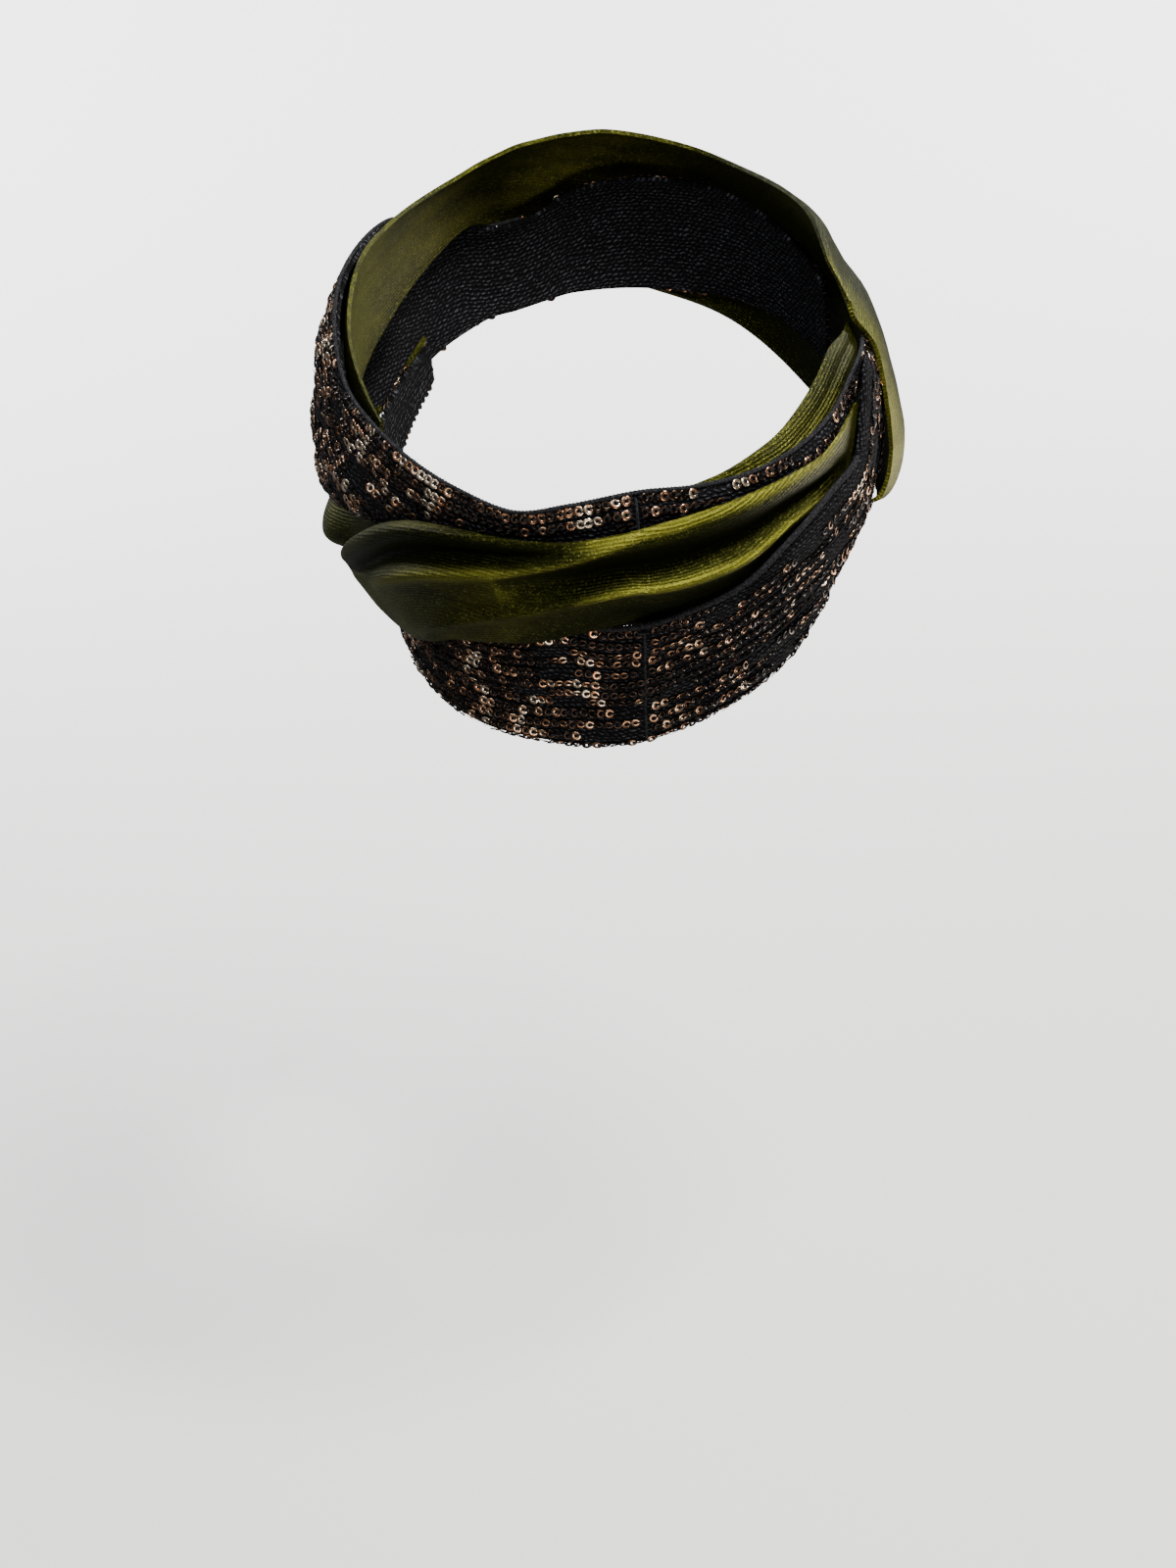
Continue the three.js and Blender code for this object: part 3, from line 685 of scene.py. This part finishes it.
class Nodes:
    """A tree of geometry nodes: each call adds one node and gives it back."""

    def __init__(self, name, inputs):
        self.tree = bpy.data.node_groups.new(name, "GeometryNodeTree")
        face = self.tree.interface
        face.new_socket("Geometry", in_out="OUTPUT", socket_type="NodeSocketGeometry")
        face.new_socket("Geometry", in_out="INPUT", socket_type="NodeSocketGeometry")
        self.keys = {}
        for label, kind in inputs.items():
            socket = face.new_socket(label, in_out="INPUT", socket_type="NodeSocket" + kind)
            self.keys[label] = socket.identifier
        self.start = self.tree.nodes.new("NodeGroupInput")
        self.end = self.tree.nodes.new("NodeGroupOutput")

    def add(self, kind, settings, inputs):
        node = self.tree.nodes.new(kind)
        for name, value in settings.items():
            setattr(node, name, value)
        for name, value in inputs.items():
            if isinstance(value, bpy.types.NodeSocket):
                self.tree.links.new(value, node.inputs[name])
            else:
                node.inputs[name].default_value = value
        return node

    def maths(self, operation, first, second):
        return self.add("ShaderNodeMath", {"operation": operation}, {0: first, 1: second}).outputs[0]

    def given(self, label):
        return self.start.outputs[label]

    def finish(self, geometry):
        realized = self.add("GeometryNodeRealizeInstances", {}, {0: geometry})
        finished = self.add("GeometryNodeSetMaterial", {}, {
            0: realized.outputs[0], 2: self.given("Material")})
        self.tree.links.new(finished.outputs[0], self.end.inputs[0])

    def made(self, name, holder, **values):
        """Plain mesh piece that the tree makes of the holder's points."""
        modifier = holder.modifiers.new("made", "NODES")
        modifier.node_group = self.tree
        for label, value in values.items():
            modifier[self.keys[label.replace("_", " ")]] = value
        graph = bpy.context.evaluated_depsgraph_get()
        mesh = bpy.data.meshes.new_from_object(holder.evaluated_get(graph))
        mesh.name = name
        holder.modifiers.remove(modifier)
        piece = bpy.data.objects.new(name, mesh)
        bpy.context.scene.collection.objects.link(piece)
        return piece


sewn = Nodes("sewn_sequins", {
    "Radius": "Float", "Hole": "Float", "Foil": "Float", "Sides": "Int", "Lean": "Float",
    "Wobble": "Float", "Thread": "Float", "Stitch": "Bool", "Seed": "Int", "Material": "Material"})
ring_width = sewn.maths("SUBTRACT", sewn.given("Radius"), sewn.given("Hole"))
ring_middle = sewn.maths("MULTIPLY", sewn.maths("ADD", sewn.given("Radius"), sewn.given("Hole")), 0.5)
circle = sewn.add("GeometryNodeCurvePrimitiveCircle", {"mode": "RADIUS"},
                  {"Resolution": sewn.given("Sides"), "Radius": ring_middle})
section = sewn.add("GeometryNodeCurvePrimitiveQuadrilateral", {"mode": "RECTANGLE"},
                   {"Width": ring_width, "Height": sewn.given("Foil")})
ring = sewn.add("GeometryNodeCurveToMesh", {}, {
    "Curve": circle.outputs[0], "Profile Curve": section.outputs[0]})
thread_size = sewn.add("ShaderNodeCombineXYZ", {}, {
    0: sewn.given("Radius"), 1: sewn.given("Thread"), 2: sewn.given("Thread")})
thread_box = sewn.add("GeometryNodeMeshCube", {}, {"Size": thread_size.outputs[0]})
thread_place = sewn.add("ShaderNodeCombineXYZ", {}, {
    0: sewn.maths("MULTIPLY", sewn.given("Radius"), 0.6), 2: sewn.given("Foil")})
thread = sewn.add("GeometryNodeTransform", {}, {
    "Geometry": thread_box.outputs[0], "Translation": thread_place.outputs[0]})
shape = sewn.add("GeometryNodeSwitch", {"input_type": "GEOMETRY"}, {
    "Switch": sewn.given("Stitch"), "False": ring.outputs[0], "True": thread.outputs[0]})
out_side = sewn.add("GeometryNodeInputNamedAttribute", {"data_type": "FLOAT_VECTOR"}, {"Name": "out"})
ahead = sewn.add("GeometryNodeInputNamedAttribute", {"data_type": "FLOAT_VECTOR"}, {"Name": "ahead"})
upright = sewn.add("FunctionNodeAlignRotationToVector", {"axis": "Z"}, {"Vector": out_side.outputs[0]})
turned = sewn.add("FunctionNodeAlignRotationToVector", {"axis": "X", "pivot_axis": "Z"},
                  {"Rotation": upright.outputs[0], "Vector": ahead.outputs[0]})
placed = sewn.add("GeometryNodeInstanceOnPoints", {}, {
    "Points": sewn.given("Geometry"), "Instance": shape.outputs[0], "Rotation": turned.outputs[0]})
wobble_low = sewn.maths("MULTIPLY", sewn.given("Wobble"), -1.0)
tilt_low = sewn.add("ShaderNodeCombineXYZ", {}, {
    0: wobble_low, 1: sewn.maths("SUBTRACT", sewn.given("Lean"), sewn.given("Wobble")), 2: -0.5})
tilt_high = sewn.add("ShaderNodeCombineXYZ", {}, {
    0: sewn.given("Wobble"), 1: sewn.maths("ADD", sewn.given("Lean"), sewn.given("Wobble")), 2: 0.5})
tilt = sewn.add("FunctionNodeRandomValue", {"data_type": "FLOAT_VECTOR"}, {
    0: tilt_low.outputs[0], 1: tilt_high.outputs[0], "Seed": sewn.given("Seed")})
leaning = sewn.add("GeometryNodeRotateInstances", {}, {
    "Instances": placed.outputs[0], "Rotation": tilt.outputs[0], "Local Space": True})
tone = sewn.add("FunctionNodeRandomValue", {"data_type": "FLOAT"}, {
    2: 0.0, 3: 1.0, "Seed": sewn.maths("ADD", sewn.given("Seed"), 7.0)})
toned = sewn.add("GeometryNodeStoreNamedAttribute", {"data_type": "FLOAT", "domain": "INSTANCE"}, {
    "Geometry": leaning.outputs[0], "Name": "tone", "Value": tone.outputs[1]})
sewn.finish(toned.outputs[0])

foil = Finish("sequin_foil", Metallic=0.92)
foil_tone = foil.node("ShaderNodeAttribute", {"attribute_name": "tone"}, {}, 2)
foil_patch = foil.noise(foil.object_place(), 60, 2)
foil_colour = foil.node("ShaderNodeValToRGB", {"stops": (
    (0.0, (0.010, 0.007, 0.006)), (0.40, (0.028, 0.018, 0.013)), (0.58, (0.21, 0.11, 0.06)),
    (0.78, (0.62, 0.35, 0.20)), (0.90, (0.96, 0.68, 0.44)), (0.94, (0.80, 0.26, 0.08)),
    (0.98, (1.0, 0.80, 0.58)))}, {0: foil_tone * (foil_patch * 3.4 - 0.82)})
foil_film = foil.noise(foil.object_place(), 700, 2)
foil.set(Base_Color=foil.mix(foil_film * 0.5, foil_colour, (0.05, 0.03, 0.02, 1)),
         Roughness=0.12 + 0.22 * foil_film)

yarn = Finish("black_yarn", Roughness=0.9, Specular_IOR_Level=0.12)
yarn_twist = yarn.noise(yarn.object_place(), 2500, 2)
# Near-black yarn with pale blue-grey flecks along the twist painted as highlight.
yarn_and_painted_flecks = yarn.mix(yarn_twist * 2.4 - 1.0, (0.003, 0.003, 0.0035, 1), (0.055, 0.057, 0.066, 1))
yarn.set(Base_Color=yarn_and_painted_flecks, Normal=yarn.bump(yarn_twist, 0.2 * MM, 0.6))

NAPE_ROWS = 12
UPPER_ROWS = 17
over_nape = [upper_cloth, main_cloth, left_cloth, side_cloth]
over_upper = [main_cloth, left_cloth, side_cloth, nape_cloth]
nape_depths = (np.arange(NAPE_ROWS) + 0.5) / NAPE_ROWS
nape_sewn = row_points(nape_band, nape_depths, False, SEQUIN_PITCH, 31, NAPE_BARE)
nape_sewn = uncovered(nape_sewn, over_nape)
upper_depths = ROW_SPACING * (np.arange(UPPER_ROWS) + 0.45)
upper_sewn = row_points(upper_band, upper_depths, True, SEQUIN_PITCH, 32)
upper_sewn = uncovered(upper_sewn, over_upper)
for band_name, rows, node, seed in (
    ("nape", nape_sewn, "sequin_nape_band", 41), ("upper", upper_sewn, "sequin_upper_band", 42)
):
    holder = points_object(band_name + "_sewn_points", rows, SEQUIN_LIFT)
    for label, stitch, finish, slot in (
        ("sequins", False, foil, "sequins"), ("stitches", True, yarn, "sequin_cloth")
    ):
        piece = sewn.made(
            band_name + "_band_" + label, holder, Radius=SEQUIN_ACROSS * MM / 2, Hole=SEQUIN_HOLE * MM / 2,
            Foil=SEQUIN_FOIL * MM, Sides=SEQUIN_SIDES, Lean=math.radians(SEQUIN_LEAN),
            Wobble=math.radians(SEQUIN_WOBBLE), Thread=STITCH_THREAD * MM, Stitch=stitch, Seed=seed,
            Material=finish.material)
        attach(piece, "root")
        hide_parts(node)
    bpy.data.objects.remove(holder)


# Black piping, hems and seams
# Cords of black two-ply yarn. One pipes the edge where the velvet is sewn to the nape band, others
# lie in its pleats and along the hem of the top band, and a thin one closes the seam at the back.
YARN_PLIES = 2
YARN_TWIST = 2.4
CORD_STEP = 0.5


def yarn_cord(name, points, outward, radius):
    """Twisted cord along a line, lying on its outward side, with closed round ends."""
    points = points + outward * radius * MM
    ahead = np.gradient(points, axis=0)
    ahead /= np.linalg.norm(ahead, axis=1, keepdims=True)
    side = outward - ahead * (outward * ahead).sum(1, keepdims=True)
    side /= np.linalg.norm(side, axis=1, keepdims=True)
    across = np.cross(ahead, side)
    travel = np.concatenate([[0], np.cumsum(np.linalg.norm(np.diff(points, axis=0), axis=1))]) / MM
    angle = np.linspace(0, 2 * np.pi, 8, endpoint=False)
    ply = 1 + 0.22 * np.cos(YARN_PLIES * (angle[None] - 2 * np.pi * travel[:, None] / YARN_TWIST))
    taper = np.minimum(1, np.sqrt(np.minimum(travel, travel[-1] - travel) / (2 * radius) + 0.02))
    size = radius * MM * ply * taper[:, None]
    rings = points[:, None] + size[..., None] * (
        np.cos(angle)[None, :, None] * side[:, None] + np.sin(angle)[None, :, None] * across[:, None])
    count, turns = rings.shape[:2]
    vertices = np.concatenate([rings.reshape(-1, 3), points[:1], points[-1:]])
    faces = []
    for k in range(count - 1):
        for j in range(turns):
            n = (j + 1) % turns
            faces.append((k * turns + j, k * turns + n, (k + 1) * turns + n, (k + 1) * turns + j))
    first, last = count * turns, count * turns + 1
    for j in range(turns):
        n = (j + 1) % turns
        faces.append((first, n, j))
        faces.append((last, (count - 1) * turns + j, (count - 1) * turns + n))
    mesh = bpy.data.meshes.new(name)
    mesh.from_pydata(vertices.tolist(), [], faces)
    mesh.polygons.foreach_set("use_smooth", np.ones(len(mesh.polygons), bool))
    mesh.materials.append(yarn.material)
    piece = bpy.data.objects.new(name, mesh)
    bpy.context.scene.collection.objects.link(piece)
    return piece


def line_on(band, place, across):
    """Points and outward sides of a band's face along a line of places."""
    tiny = 0.01
    points = band.points(place, across)
    ahead = band.points(place + 0.2, across) - band.points(place - 0.2, across)
    inward_share = np.clip(across, tiny, 1 - tiny)
    upward = band.points(place, inward_share + tiny) - band.points(place, inward_share - tiny)
    outward = np.cross(ahead, upward)
    return points, outward / np.linalg.norm(outward, axis=1, keepdims=True)


def even_line(band, place, across):
    """The same line with its points a step apart."""
    points, outward = line_on(band, place, across)
    travel = np.concatenate([[0], np.cumsum(np.linalg.norm(np.diff(points, axis=0), axis=1))]) / MM
    stops = np.arange(0, travel[-1], CORD_STEP)
    place = np.interp(stops, travel, place)
    across = np.interp(stops, travel, across)
    return line_on(band, place, across)


def cords(name, lines, node):
    """One piece of several cords: each line is a band, places, shares across and a radius."""
    pieces = [yarn_cord(name + "_part", *even_line(band, place, across), radius)
              for band, place, across, radius in lines]
    vertices, faces = [], []
    for piece in pieces:
        start = len(vertices)
        vertices.extend(v.co.copy() for v in piece.data.vertices)
        faces.extend([start + i for i in p.vertices] for p in piece.data.polygons)
        bpy.data.objects.remove(piece)
    mesh = bpy.data.meshes.new(name)
    mesh.from_pydata(vertices, [], faces)
    mesh.polygons.foreach_set("use_smooth", np.ones(len(mesh.polygons), bool))
    mesh.materials.append(yarn.material)
    joined = bpy.data.objects.new(name, mesh)
    bpy.context.scene.collection.objects.link(joined)
    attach(joined, "root")
    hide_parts(node)


def pleat_line(i, first, last):
    """Places and shares across along the bottom of one pleat of the nape band."""
    place = np.linspace(first, last, 200)
    return place, fold_line(nape_folds, i, place)[1]


def level_line(first, last, count, across):
    """Places along a band at one share across it."""
    return np.linspace(first, last, count), np.full(count, across)


def seam_line():
    """Places up a band at the middle of the back, and their shares across it."""
    across = np.linspace(0.02, 0.98, 60)
    return np.full_like(across, SEAM_DEGREES), across


PIPED = (-9, 66, 400)
HEMMED = (-164, 80, 960)
cords("nape_band_piping", [
    (nape_band, *level_line(*PIPED, 0.995), 0.9),
    (nape_band, *pleat_line(0, 24, 90), 0.6),
    (nape_band, *pleat_line(2, 30, 90), 0.5),
    (nape_band, *seam_line(), 0.45),
], "sequin_nape_band")
cords("upper_band_hem", [
    (upper_band, *level_line(*HEMMED, 0.995), 0.65),
    (upper_band, *seam_line(), 0.45),
], "sequin_upper_band")


# Loose fibres
# Short ends of the black yarn stand up all over the net, most of all along its hems and piping.
FIBRE = 1.7
FIBRE_THICK = 0.09

tufts = Nodes("loose_fibres", {
    "Length": "Float", "Thickness": "Float", "Wobble": "Float", "Seed": "Int", "Material": "Material"})
length = tufts.given("Length")
bend = tufts.add("ShaderNodeCombineXYZ", {}, {
    0: tufts.maths("MULTIPLY", length, 0.1), 2: tufts.maths("MULTIPLY", length, 0.6)})
tip = tufts.add("ShaderNodeCombineXYZ", {}, {
    0: tufts.maths("MULTIPLY", length, 0.8), 2: tufts.maths("MULTIPLY", length, 0.35)})
strand = tufts.add("GeometryNodeCurveQuadraticBezier", {}, {
    "Resolution": 4, "Start": (0, 0, 0), "Middle": bend.outputs[0], "End": tip.outputs[0]})
strand_section = tufts.add("GeometryNodeCurvePrimitiveCircle", {"mode": "RADIUS"}, {
    "Resolution": 3, "Radius": tufts.maths("MULTIPLY", tufts.given("Thickness"), 0.5)})
strand_mesh = tufts.add("GeometryNodeCurveToMesh", {}, {
    "Curve": strand.outputs[0], "Profile Curve": strand_section.outputs[0], "Fill Caps": True})
tuft_side = tufts.add("GeometryNodeInputNamedAttribute", {"data_type": "FLOAT_VECTOR"}, {"Name": "out"})
tuft_upright = tufts.add("FunctionNodeAlignRotationToVector", {"axis": "Z"}, {
    "Vector": tuft_side.outputs[0]})
tuft_size = tufts.add("FunctionNodeRandomValue", {"data_type": "FLOAT"}, {
    2: 0.4, 3: 1.3, "Seed": tufts.given("Seed")})
tuft_placed = tufts.add("GeometryNodeInstanceOnPoints", {}, {
    "Points": tufts.given("Geometry"), "Instance": strand_mesh.outputs[0],
    "Rotation": tuft_upright.outputs[0], "Scale": tuft_size.outputs[1]})
tuft_turn_low = tufts.add("ShaderNodeCombineXYZ", {}, {
    0: tufts.maths("MULTIPLY", tufts.given("Wobble"), -1.0), 1: 0.0, 2: -3.14})
tuft_turn_high = tufts.add("ShaderNodeCombineXYZ", {}, {0: tufts.given("Wobble"), 1: 0.4, 2: 3.14})
tuft_turn = tufts.add("FunctionNodeRandomValue", {"data_type": "FLOAT_VECTOR"}, {
    0: tuft_turn_low.outputs[0], 1: tuft_turn_high.outputs[0],
    "Seed": tufts.maths("ADD", tufts.given("Seed"), 3.0)})
tuft_turned = tufts.add("GeometryNodeRotateInstances", {}, {
    "Instances": tuft_placed.outputs[0], "Rotation": tuft_turn.outputs[0], "Local Space": True})
tufts.finish(tuft_turned.outputs[0])


def fibre_rows(band, count, seed, lines):
    """Places of fibres: a scatter over the band, and more of them along the given lines."""
    draw = np.random.default_rng(seed)
    spots = [(draw.uniform(band.first, band.last, count), draw.uniform(0.02, 0.98, count))]
    for place, across, number in lines:
        pick = draw.integers(0, len(place), number)
        spots.append((place[pick], np.clip(across[pick] + draw.normal(0, 0.012, number), 0.002, 0.998)))
    place, across = (np.concatenate(part) for part in zip(*spots))
    points, outward = line_on(band, place, across)
    return np.concatenate([points, outward, outward, place[:, None]], axis=1)


BARE_SHARES = (0.86, 0.90, 0.94, 0.98)
bare_grid = np.meshgrid(np.linspace(12, 90, 260), BARE_SHARES, indexing="ij")
for band_name, band, node, count, seed, lines, others in (
    ("nape", nape_band, "sequin_nape_band", 900, 51, [
        (*level_line(*PIPED, 0.99), 350),
        (*pleat_line(0, 24, 90), 260), (*pleat_line(2, 30, 90), 220),
        (*level_line(-90, 90, 500, 0.01), 300), (*(part.ravel() for part in bare_grid), 700)],
        over_nape),
    ("upper", upper_band, "sequin_upper_band", 1100, 52, [
        (*level_line(*HEMMED, 0.992), 900), (*level_line(-120, -50, 300, 0.01), 150)],
        over_upper),
):
    rows = uncovered(fibre_rows(band, count, seed, lines), others)
    holder = points_object(band_name + "_fibre_points", rows, 0)
    piece = tufts.made(band_name + "_band_fibres", holder, Length=FIBRE * MM, Thickness=FIBRE_THICK * MM,
                       Wobble=0.5, Seed=seed, Material=yarn.material)
    bpy.data.objects.remove(holder)
    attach(piece, "root")
    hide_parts(node)


# Floor and backdrop
# One pale sheet of card that curves up behind the wrap, well under it, because it is worn high up.
# It lets light through from below, and shows only to the camera.
FLOOR = -0.36
CARD_BACK = 1.0
CARD_CURVE = 0.8
CARD_HALF_WIDTH = 4
sweep = [(-3.0, FLOOR), (CARD_BACK, FLOOR)]
for angle in np.linspace(0.1, math.pi / 2, 14):
    height = FLOOR + CARD_CURVE - CARD_CURVE * math.cos(angle)
    sweep.append((CARD_BACK + CARD_CURVE * math.sin(angle), height))
sweep.append((CARD_BACK + CARD_CURVE, 4.0))
card_mesh = bpy.data.meshes.new("backdrop_card")
card_mesh.from_pydata([(x, y, z) for y, z in sweep for x in (-CARD_HALF_WIDTH, CARD_HALF_WIDTH)], [],
                      [(2 * i, 2 * i + 1, 2 * i + 3, 2 * i + 2) for i in range(len(sweep) - 1)])
card_mesh.polygons.foreach_set("use_smooth", np.ones(len(card_mesh.polygons), bool))
card = bpy.data.objects.new("backdrop_card", card_mesh)
bpy.context.scene.collection.objects.link(card)
paper = Finish("pale_card", Roughness=0.9, Base_Color=(0.92, 0.92, 0.92, 1))
card_mesh.materials.append(paper.material)
card.visible_glossy = False
card.visible_diffuse = False
card.visible_shadow = False


# Studio light
# A soft box above and to the right, a weaker one at the left and one over the camera, two from below
# that catch in the sequins, a pair for the card, and a dim even room.
def soft_box(name, place, size, watts, colour, towards=(0, 0, 0)):
    light = bpy.data.lights.new(name, "AREA")
    light.shape, light.size, light.energy, light.color = "SQUARE", size, watts, colour
    lamp = bpy.data.objects.new(name, light)
    lamp.location = place
    lamp.rotation_euler = (Vector(towards) - Vector(place)).to_track_quat("-Z", "Y").to_euler()
    bpy.context.scene.collection.objects.link(lamp)


soft_box("key_light", (0.50, -0.50, 1.15), 0.45, 40, (1.0, 0.97, 0.92))
soft_box("fill_light", (-0.80, -0.75, 0.95), 0.6, 7, (0.95, 0.97, 1.0))
soft_box("low_light", (0.05, -0.75, -0.85), 0.7, 9, (1.0, 0.93, 0.85))
soft_box("side_light", (1.05, 0.45, -0.45), 0.6, 14, (1.0, 0.93, 0.85))
soft_box("front_light", (-0.25, -1.70, 0.70), 1.2, 6, (1.0, 0.97, 0.93))
for side in (-1, 1):
    soft_box("card_light", (1.2 * side, 1.25, 1.0), 0.9, 84, (1.0, 1.0, 1.0), (0, 2.6, -0.3))
room = bpy.data.worlds.new("room")
room.use_nodes = True
room.node_tree.nodes["Background"].inputs[0].default_value = (0.9, 0.93, 1.0, 1)
room.node_tree.nodes["Background"].inputs[1].default_value = 0.13
bpy.context.scene.world = room


# Camera
# Where the photograph was taken from: behind, a little above, and rolled a few degrees.
PICTURE_WIDTH, PICTURE_HEIGHT = 1200, 1600
FOCAL_PIXELS = 2880
HEAD_MIDDLE_PIXEL = (607, 350)
CAMERA_AWAY = 0.9
LOOKING_DOWN, ROLLED = math.radians(13), math.radians(5)
SENSOR = 36

back = Vector((0, -math.cos(LOOKING_DOWN), math.sin(LOOKING_DOWN)))
level = Vector((1, 0, 0))
rise = level.cross(-back)
right = math.cos(ROLLED) * level - math.sin(ROLLED) * rise
up = math.sin(ROLLED) * level + math.cos(ROLLED) * rise
seen = Vector(((HEAD_MIDDLE_PIXEL[0] - PICTURE_WIDTH / 2) / FOCAL_PIXELS,
               -(HEAD_MIDDLE_PIXEL[1] - PICTURE_HEIGHT / 2) / FOCAL_PIXELS, -1))
aim = seen.rotation_difference(Vector((0, 0, -1))).to_matrix()
axes = Matrix((right, up, back)).transposed() @ aim
camera_data = bpy.data.cameras.new("camera")
camera_data.sensor_width = SENSOR
camera_data.lens = FOCAL_PIXELS * SENSOR / PICTURE_HEIGHT
camera = bpy.data.objects.new("camera", camera_data)
camera.matrix_world = Matrix.Translation(back * CAMERA_AWAY) @ axes.to_4x4()
bpy.context.scene.collection.objects.link(camera)
bpy.context.scene.camera = camera
